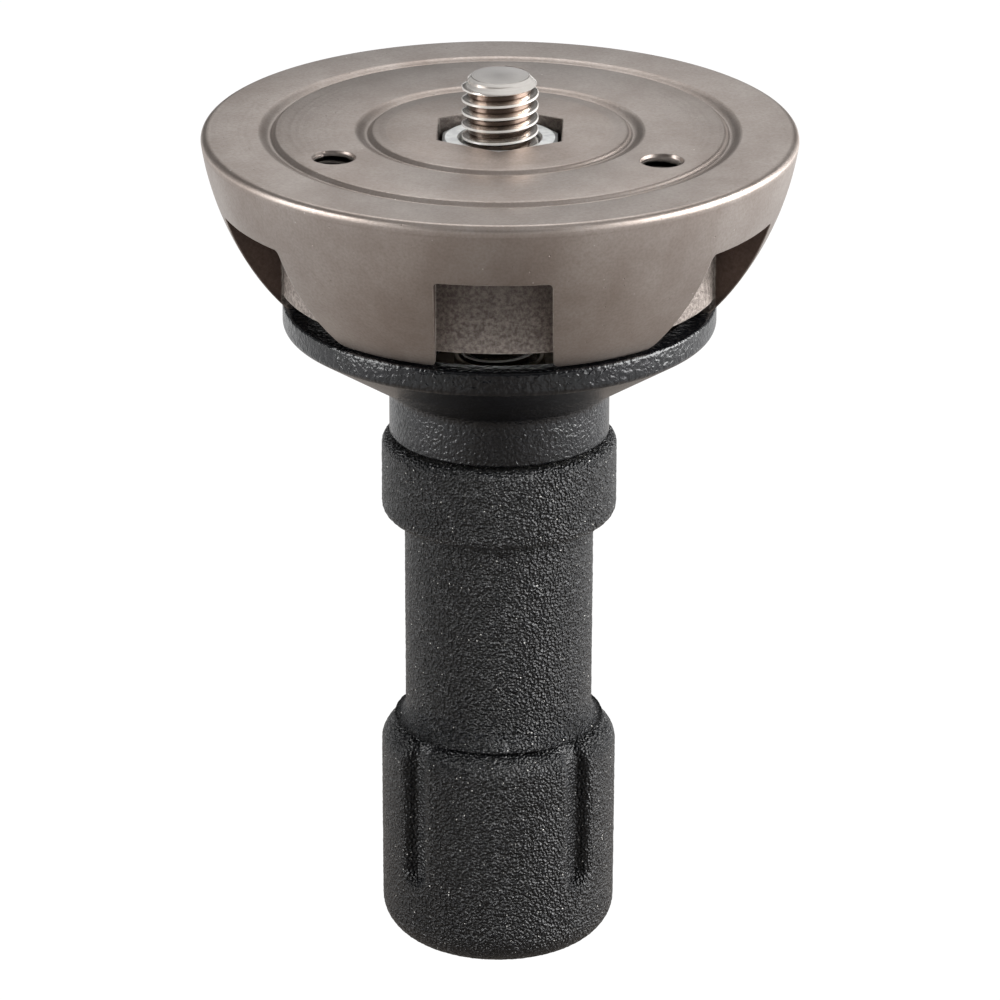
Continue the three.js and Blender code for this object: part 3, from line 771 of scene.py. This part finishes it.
def close_set(profile, spacing, beyond):
    """The same profile with more points where it lies further out than beyond, as a fine skin needs."""
    points = []
    for first, last in zip(profile, profile[1:] + profile[:1]):
        length = math.dist(first, last)
        steps = math.ceil(length / spacing) if max(first[0], last[0]) > beyond else 1
        points += [tuple(a + (b - a) * step / steps for a, b in zip(first, last)) for step in range(steps)]
    return points


body_blank = turned("body_blank", close_set(body_profile, 0.3, 11.9), segments=280, ring=True, sharp=40)
knob_blank = turned("knob_blank", close_set(knob_profile, 0.3, 10.6), segments=300, sharp=40)
print("blank faces:", len(body_blank.data.polygons), len(knob_blank.data.polygons))

# %% [markdown]
# ## A moulded skin
# Mouldings have no sharp edges: the knob's four flutes sink into it with a soft lip, and a spark-eroded
# grain makes even the outline slightly rough. Cutting the flutes would leave hard edges, so a tree moves
# the points of the fine blank instead. How deep depends only on how far a point is from a flute's line.

# %% The skin tree
def skin_tree():
    """A tree that sinks soft flutes into a turned moulding and roughens its skin."""
    sizes = ("Flutes", "Flute depth", "Flute half width", "Lip", "Flute foot", "Skin radius",
             "Skin below", "Grain size", "Grain depth")
    graph, inputs, size = open_tree("moulded_skin", {"Moulding": "Geometry", **dict.fromkeys(sizes, "Float")})
    position = graph.node("GeometryNodeInputPosition")
    x, y, z = graph.split(position)
    radius = (x * x + y * y).root()
    share = 2 * math.pi / size["Flutes"]
    angle = x.math("ARCTAN2", y, x) - math.pi / 4 + share * 0.5
    beside = (angle.math("FLOORED_MODULO", angle, share) - share * 0.5) * radius
    past_foot = (size["Flute foot"] - z).most(0)
    from_line = (beside * beside + past_foot * past_foot).root()
    inside = from_line.math("DIVIDE", size["Flute half width"] - from_line, size["Lip"], clamp=True)
    soft = inside * inside * (3 - inside * 2)
    reach = (radius - 11 * mm).within(0, 4 * mm)
    outward = graph.node("ShaderNodeCombineXYZ", {}, {"X": x / radius.most(mm), "Y": y / radius.most(mm)})
    sink = graph.node("ShaderNodeVectorMath", {"operation": "SCALE"},
                      {0: outward, "Scale": soft * reach * size["Flute depth"] * -1})
    grain = graph.node("ShaderNodeTexNoise", {"noise_dimensions": "3D"}, {
        "Vector": position, "Scale": 1 / size["Grain size"], "Detail": 2.0, "Roughness": 0.5})
    on_skin = (radius - size["Skin radius"]).within(0, 0.1 * mm).most(
        (size["Skin below"] - z).within(0, 0.1 * mm))
    near_flute = (size["Flute half width"] + 0.7 * mm - from_line).within(0, 0.5 * mm)
    calm = near_flute * (size["Flute depth"] / mm).least(1)
    rough = graph.node("ShaderNodeVectorMath", {"operation": "SCALE"}, {
        0: graph.node("GeometryNodeInputNormal"),
        "Scale": (grain * (1 - calm * 0.8) - 0.62) * on_skin * size["Grain depth"]})
    shift = graph.node("ShaderNodeVectorMath", {"operation": "ADD"}, {0: sink, 1: rough})
    moved = graph.node("GeometryNodeSetPosition", {}, {"Geometry": size["Moulding"], "Offset": shift})
    return close_tree(graph, moved), inputs


moulded_tree, moulded_inputs = skin_tree()
common = {"Flutes": 4.0, "Flute half width": 2.0 * mm, "Lip": 1.1 * mm, "Grain size": 0.45 * mm,
          "Grain depth": 0.24 * mm, "Flute foot": below_face(96.9) * mm}
body = grown("grained_body", body_blank, moulded_tree, moulded_inputs, {
    **common, "Flute depth": 0.0, "Skin radius": 11.85 * mm, "Skin below": -1.0})
knob = grown("grained_knob", knob_blank, moulded_tree, moulded_inputs, {
    **common, "Flute depth": 1.5 * mm, "Skin radius": 10.7 * mm, "Skin below": below_face(103) * mm})
for piece in (body, knob):
    smoothed(piece.data, 60)
print("knob faces:", len(knob.data.polygons), "body faces:", len(body.data.polygons))

# %% [markdown]
# ## Finishes
# Every finish is a Principled shader whose colour, roughness and bump follow patterns in the piece's own
# space, here turned into millimetres, so that a grain of a quarter of a millimetre is written as 0.25.
# Patterns in the piece's space stay on it when it moves, and need no unwrapping.

# %% A finish and its patterns
class Finish(Graph):
    """A Principled material with the surface's place in millimetres, and patterns that use it."""

    def __init__(self, name, **constants):
        self.material = bpy.data.materials.new(name)
        self.material.use_nodes = True
        super().__init__(self.material.node_tree)
        self.shader = self.tree.nodes["Principled BSDF"]
        for socket, value in constants.items():
            self.shader.inputs[socket.replace("_", " ")].default_value = value
        metres = self.node("ShaderNodeTexCoord", output="Object")
        self.place = self.node("ShaderNodeVectorMath", {"operation": "SCALE"}, {0: metres, "Scale": 1 / mm})
        self.x, self.y, self.z = self.split(self.place)
        self.axis_distance = (self.x * self.x + self.y * self.y).root()

    def below(self, none, full):
        """0 at the depth none below the face, 1 at the depth full, and an even change between them."""
        return self.z.within(below_face(none), below_face(full))

    def noise(self, size, detail=2, roughness=0.5, distortion=0.0, stretch=(1, 1, 1)):
        """Cloudy pattern whose patches are about so many millimetres across, mostly 0.3 to 0.7."""
        where = self.node("ShaderNodeMapping", {}, {"Vector": self.place, "Scale": stretch})
        return self.node("ShaderNodeTexNoise", {}, {
            "Vector": where, "Scale": 1 / size, "Detail": detail, "Roughness": roughness,
            "Distortion": distortion})

    def spots(self, spacing, radius, keep=0.3):
        """1 inside small round spots, on about so large a share of the cells of a grid."""
        distance = self.node("ShaderNodeTexVoronoi", {}, {"Vector": self.place, "Scale": 1 / spacing})
        chosen = self.node("ShaderNodeSeparateColor", {}, {0: distance.other("Color")})
        return distance.within(radius / spacing, radius / spacing * 0.4) * chosen.within(keep, keep - 0.05)

    def mix(self, share, first, second):
        """A colour between two colours."""
        return self.node("ShaderNodeMix", {"data_type": "RGBA"}, {0: share, 6: first, 7: second}, 2)

    def bump(self, height, depth, under=None, strength=1.0):
        """A normal raised by a height of 0 to 1, so many millimetres deep."""
        sockets = {"Height": height, "Distance": depth * mm, "Strength": strength}
        if under is not None:
            sockets["Normal"] = under
        return self.node("ShaderNodeBump", {}, sockets)

    def wear(self, **wires):
        """Links patterns to the shader's sockets."""
        for socket, wire in wires.items():
            self.tree.links.new(wire.socket, self.shader.inputs[socket.replace("_", " ")])
        return self.material


print("a finish starts with:", [n.bl_idname for n in Finish("trial").tree.nodes][:4])
bpy.data.materials.remove(bpy.data.materials["trial"])

# %% [markdown]
# ## Cast metal
# The half ball is a casting with a satin grey-brown finish. Outside and on the face it is machined, with
# fine pits and a few pale nicks, and its edges are painted pale in patches: partly wear, partly a painted
# highlight. Inside the notches it is left as cast and rough; its faces are darker towards the roof as painted
# shade, and its recessed inner wall is darker, partly as-cast colour and partly painted shade. The tapped
# holes are brighter, since the tap cuts clean metal. The ball's centre is the origin, so the distance from it
# tells the turned outside from the rest, the height tells the face, and the distance from the axis tells
# holes and walls. One material can do all of it.

# %% Cast metal
cast = Finish("cast_metal", Anisotropic=0.5)
from_centre = cast.node("ShaderNodeVectorMath", {"operation": "LENGTH"}, {0: cast.place}, "Value")
turned_from, rim_from, rim_foot = 14.2, 35.6, 1.4
in_groove = cast.below(groove_depth + 0.1, groove_depth)
in_groove = in_groove * cast.axis_distance.within(turned_from - 0.2, turned_from)
at_rim = cast.axis_distance.within(rim_from - 0.2, rim_from)
at_rim = at_rim * cast.below(rim_foot + 0.2, rim_foot)
on_face = cast.below(0.12, 0.06).most(in_groove).most(at_rim)
machined = from_centre.within(ball_radius - 0.2, ball_radius - 0.08).most(on_face)
cloud = cast.noise(9, detail=3, roughness=0.6)
grain = cast.noise(0.35, detail=2)
sand = cast.noise(0.5, detail=4, roughness=0.7)
pits = cast.spots(1.1, 0.12, keep=0.25)
nicks = cast.spots(1.2, 0.14, keep=0.07)
satin = cast.mix(cloud.within(0.3, 0.7), tint(143, 132, 125), tint(163, 154, 148))
satin = cast.mix(grain.within(0.35, 0.75) * 0.3, satin, tint(112, 99, 90))
satin = cast.mix(pits * 0.5, satin, tint(70, 58, 52))
satin = cast.mix(nicks * 0.7, satin, tint(226, 220, 214))
# Painted shade: the as-cast faces of each notch darken towards its roof, under the overhang.
shade_under_roof = cast.below(16.6, 7.6)
on_wall = cast.axis_distance.within(wall_radius + 0.15, wall_radius + 0.05)
as_cast_with_shade = cast.mix(sand.within(0.38, 0.62), tint(98, 89, 84), tint(146, 137, 130))
as_cast_with_shade = cast.mix(shade_under_roof * 0.45, as_cast_with_shade, tint(72, 64, 60))
# The recessed inner wall gets a darker tone: partly as-cast colour, partly painted shade.
as_cast_with_shade = cast.mix(on_wall, cast.mix(sand.within(0.3, 0.7), tint(88, 75, 69), tint(110, 95, 88)), as_cast_with_shade)
hole_reach, hole_bright_to = 3.1, 5.8
in_hole = cast.axis_distance.between(screw_circle_radius - hole_reach, screw_circle_radius + hole_reach, 0.2)
in_hole = in_hole * (1 - on_face) * cast.below(hole_bright_to + 0.1, hole_bright_to)
edge_round = 0.25
soft_edge = cast.node("ShaderNodeBevel", {"samples": 6}, {"Radius": edge_round * mm})
true_normal = cast.node("ShaderNodeNewGeometry", output="Normal")
agreement = cast.node("ShaderNodeVectorMath", {"operation": "DOT_PRODUCT"}, {0: soft_edge, 1: true_normal},
                      "Value")
# Pale edges in patches: partly edge wear, partly a painted highlight along the rounded edges.
wear_and_edge_highlight = agreement.within(0.99, 0.9) * cast.noise(1.5, detail=3).within(0.35, 0.6)
clear_of_rings = (1 - cast.axis_distance.between(11, 33, 1)) * (1 - at_rim)
wear_and_edge_highlight = wear_and_edge_highlight * clear_of_rings.most(1 - on_face)
colour = cast.mix(wear_and_edge_highlight * 0.55, cast.mix(machined, as_cast_with_shade, satin), tint(214, 205, 196))
colour = cast.mix(in_hole, colour, tint(172, 162, 154))
across_rings = cast.node("ShaderNodeCombineXYZ", {}, {"X": cast.axis_distance})
ring_width = 0.9
rings = cast.node("ShaderNodeTexNoise", {}, {
    "Vector": across_rings, "Scale": 1 / ring_width, "Detail": 3.0})
fine = cast.bump(grain, 0.015, soft_edge)
fine = cast.bump(1 - pits, 0.05, fine)
fine = cast.bump(rings * on_face, 0.03, fine)
rough_sand = cast.bump(sand * (1 - machined) * on_wall, 0.14, fine)
cast_metal = cast.wear(
    Base_Color=colour, Normal=rough_sand, Metallic=0.85 - (1 - machined) * on_wall * 0.3,
    Roughness=(1 - machined) * 0.12 + on_face * 0.08 - in_groove * 0.1 + grain * 0.1 + 0.34)
print("cast metal nodes:", len(cast.tree.nodes))

# %% [markdown]
# ## Stainless steel
# The stud is turned from stainless bar. Its flanks need little more than a smooth metal with faint marks
# round the axis, which the tool left. The roots of the thread are painted brown as painted shade, its crests
# and coned end are painted pale as a painted highlight, and the flat top is darker, with painted shade that
# deepens at its middle. Heights and radii tell these places apart.

# %% Stainless steel
steel = Finish("stainless", Anisotropic=0.5)
streak = steel.noise(0.5, detail=3, stretch=(0.15, 0.15, 6))
rings = (steel.axis_distance * 20).sine()
stud_top = below_face(-rod_height)
cone_foot = stud_top - rod_cone
# Painted shade: the thread's roots are darkened to brown below the first turn.
root = steel.axis_distance.within(4.4, 4.0) * steel.z.within(stud_top - 0.65, stud_top - 1.65)
steel_colour = steel.mix(streak.within(0.35, 0.7), tint(238, 232, 226), tint(216, 208, 200))
steel_colour = steel.mix(root * 0.75, steel_colour, tint(104, 78, 60))
# The flat top is darker, and painted shade darkens it further towards its middle.
turned_top = steel.z.within(stud_top - 0.05, stud_top - 0.01)
middle = turned_top * steel.axis_distance.within(2.6, 0.2)
steel_colour = steel.mix(turned_top * 0.8, steel_colour, tint(140, 137, 134))
steel_colour = steel.mix(middle * 0.6, steel_colour, tint(112, 108, 104))
# Painted highlight: the crests and the coned end are painted pale and made less metallic.
crest_highlight = steel.axis_distance.within(4.62, 4.72) * steel.z.within(cone_foot + 0.03, cone_foot - 0.17)
chamfer_highlight = steel.z.within(cone_foot + 0.03, cone_foot + 0.13)
chamfer_highlight = chamfer_highlight * steel.z.within(stud_top - 0.03, stud_top - 0.07)
crest_highlight = crest_highlight.most(chamfer_highlight * 0.45)
steel_colour = steel.mix(crest_highlight, steel_colour, tint(240, 237, 232))
steel_normal = steel.bump(rings, 0.002, steel.bump(streak, 0.008))
stainless = steel.wear(
    Base_Color=steel_colour, Normal=steel_normal, Roughness=streak * 0.12 + 0.13, Metallic=1 - crest_highlight * 0.7)
print("stainless nodes:", len(steel.tree.nodes))

# %% [markdown]
# ## Zinc plate, bush steel and dark steel
# Plated parts look alike and differ in tone: pale bluish zinc with soft mottling on nuts and washers,
# steel on the bush in a darker brownish grey that is painted shade, and dark oiled steel on the set screws
# and the ring. One function makes all three from two tones and a roughness.

# %% Plated and plain steels
def plated(name, light, dark, roughness, depth=0.012):
    """A metal finish that wanders between two tones, with fine scratches."""
    finish = Finish(name, Metallic=1.0)
    mottle = finish.noise(1.6, detail=4, roughness=0.6)
    scratch = finish.noise(0.25, detail=2, stretch=(1, 1, 5))
    tone = finish.mix(mottle.within(0.3, 0.7), light, dark)
    return finish.wear(
        Base_Color=tone, Normal=finish.bump(scratch * 0.4 + mottle * 0.6, depth),
        Roughness=mottle * 0.2 + (roughness - 0.1))


zinc_plate = plated("zinc_plate", tint(240, 241, 239), tint(196, 197, 197), 0.45)
# The bush's steel is painted darker as painted shade, for the shadow it sits in under the ball.
bright_steel = plated("bright_steel", tint(168, 156, 138), tint(128, 117, 102), 0.34)
dark_steel = plated("dark_steel", tint(92, 88, 84), tint(60, 56, 54), 0.38)
print("steels:", zinc_plate.name, bright_steel.name, dark_steel.name)

# %% [markdown]
# ## Wrinkled powder coat
# The flange is sprayed with a coat that shrinks into wrinkles as it cures. On the real part they are wider on
# the rim than on the neck, and the cone between them is nearly smooth. Noise of little detail that is bent
# by a second noise gives such wrinkles, and the bump is deep enough for each of them to catch the light.

# %% Powder coat
coat = Finish("powder_coat", Specular_IOR_Level=0.5)
rim_part = coat.below(27.1, 25.1)
wide = coat.noise(0.72, detail=1.5, distortion=0.4)
narrow = coat.noise(0.46, detail=1.5, distortion=0.3)
smooth_cone = coat.below(24.8, 25.8) * coat.below(30.4, 29.0)
ridges = (wide * rim_part * 0.62 + narrow * (1 - rim_part) * 0.7) * (1 - smooth_cone * 0.85)
dust = coat.noise(0.12, detail=1)
coat_colour = coat.mix(coat.noise(3, detail=2).within(0.3, 0.7), tint(5, 6, 8), tint(10, 11, 15))
coat_normal = coat.bump(dust, 0.008, coat.bump(ridges, 0.3))
powder_coat = coat.wear(Base_Color=coat_colour, Normal=coat_normal, Roughness=dust * 0.1 + 0.2)
print("powder coat nodes:", len(coat.tree.nodes))

# %% [markdown]
# ## Grained plastic and nylon
# The handle is black plastic from a mould with a fine spark-eroded grain of about a third of a millimetre.
# The tops of the grain are smoother and painted paler as a painted highlight, and scattered pale spots are
# painted glints. The flare below the waist is grained more heavily and gets more painted highlight, and the
# flutes are grained less. The thrust washers are plain pale nylon with a faint haze.

# %% Grained plastic
plastic = Finish("grained_plastic", Specular_IOR_Level=0.4)
bead = plastic.noise(0.32, detail=0.6, roughness=0.5)
# Painted highlight: the grain's tops are painted paler, more so on the flare.
highlit_tops = bead.within(0.5, 0.64)
flare = abs(plastic.z - below_face(77.1)).within(2.2, 0.8)
# Painted glints: scattered pale spots on the grain.
painted_glints = plastic.spots(0.5, 0.1, keep=0.14)
plastic_colour = plastic.mix(highlit_tops * (0.6 + flare * 0.4), tint(4, 4, 5), tint(41, 42, 45))
plastic_colour = plastic.mix(painted_glints, plastic_colour, tint(225, 222, 215))
beside_flute = abs(abs(plastic.x) - abs(plastic.y)) * math.sqrt(0.5)
along_flute = plastic.below(98.2, 97) * plastic.below(79, 79.8)
in_flute = beside_flute.within(2.6, 1.8) * along_flute
plastic_normal = plastic.bump(bead * (flare * 0.3 + 1.0) * (1 - in_flute * 0.55), 0.7)
grained_plastic = plastic.wear(
    Base_Color=plastic_colour, Normal=plastic_normal, Roughness=0.42 - highlit_tops * 0.17)
nylon_finish = Finish("nylon", Roughness=0.5)
haze = nylon_finish.noise(1.2, detail=3)
nylon = nylon_finish.wear(
    Base_Color=nylon_finish.mix(haze.within(0.3, 0.7), tint(222, 219, 208), tint(206, 202, 190)),
    Normal=nylon_finish.bump(haze, 0.02))
print("plastic nodes:", len(plastic.tree.nodes), "nylon nodes:", len(nylon_finish.tree.nodes))

# %% [markdown]
# ## Pieces and bodies
# The cutters have done their work and go. Each piece then takes the place of the engineering node that it
# stands for, rides on the same body, so that it moves with it at every pose, and takes its finish from the
# table of finishes by the name listed beside it.

# %% Put the pieces on their bodies
for cutter in (notch_cutter, kept_wall, rod_groove, boss, hole, hole_groove, recess):
    bpy.data.objects.remove(cutter)
for leftover in [o for o in bpy.data.objects if o.name.startswith("nut_blank")]:
    bpy.data.objects.remove(leftover)
finishes = {
    "cast_metal": cast_metal, "stainless": stainless, "zinc_plate": zinc_plate,
    "bright_steel": bright_steel, "dark_steel": dark_steel, "powder_coat": powder_coat, "nylon": nylon,
    "grained_plastic": grained_plastic,
}
dressed = (
    (casting, "ball", "half_ball", "cast_metal"),
    (stud_rod, "ball", "stud_rod", "stainless"),
    (top_nut, "ball", "top_nut", "zinc_plate"),
    (hub_nut, "ball", "hub_nut", "zinc_plate"),
    (flange, "clamp", "clamp_flange", "powder_coat"),
    (bush, "clamp", "guide_bush", "bright_steel"),
    (body, "handle", "handle_body", "grained_plastic"),
    (knob, "handle", "handle_knob", "grained_plastic"),
)
for piece, moves_with, node, slot_name in dressed:
    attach(piece, moves_with)
    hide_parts(node)
    piece.data.materials.clear()
    piece.data.materials.append(finishes[slot_name])
    low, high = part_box(node)
    print(node, "CAD box in mm:", [round(x / mm, 1) for x in (*low, *high)])

# %% [markdown]
# ## The nodes that stay
# Washers, insert, set screws, ring and the knob's screw have the right shape already. They are small and
# mostly hidden, so they keep their engineering meshes and only get a finish in their material slots.

# %% Finish the nodes that stay
kept = {
    "zinc_plate": ("hub_washer", "hub_lock_washer", "handle_insert", "knob_washer", "knob_screw"),
    "dark_steel": ("set_screw_1", "set_screw_2", "set_screw_3", "retaining_ring"),
    "nylon": ("upper_thrust_washer", "lower_thrust_washer"),
}
for slot_name, nodes in kept.items():
    for node in nodes:
        for slot in frame["nodes"][node].material_slots:
            slot.material = finishes[slot_name]
print("finished nodes:", sum(len(nodes) for nodes in kept.values()))

# %% [markdown]
# ## Sizes and the end
# Looks must not change the object's size. The box of the engineering model was measured and printed at
# the start.
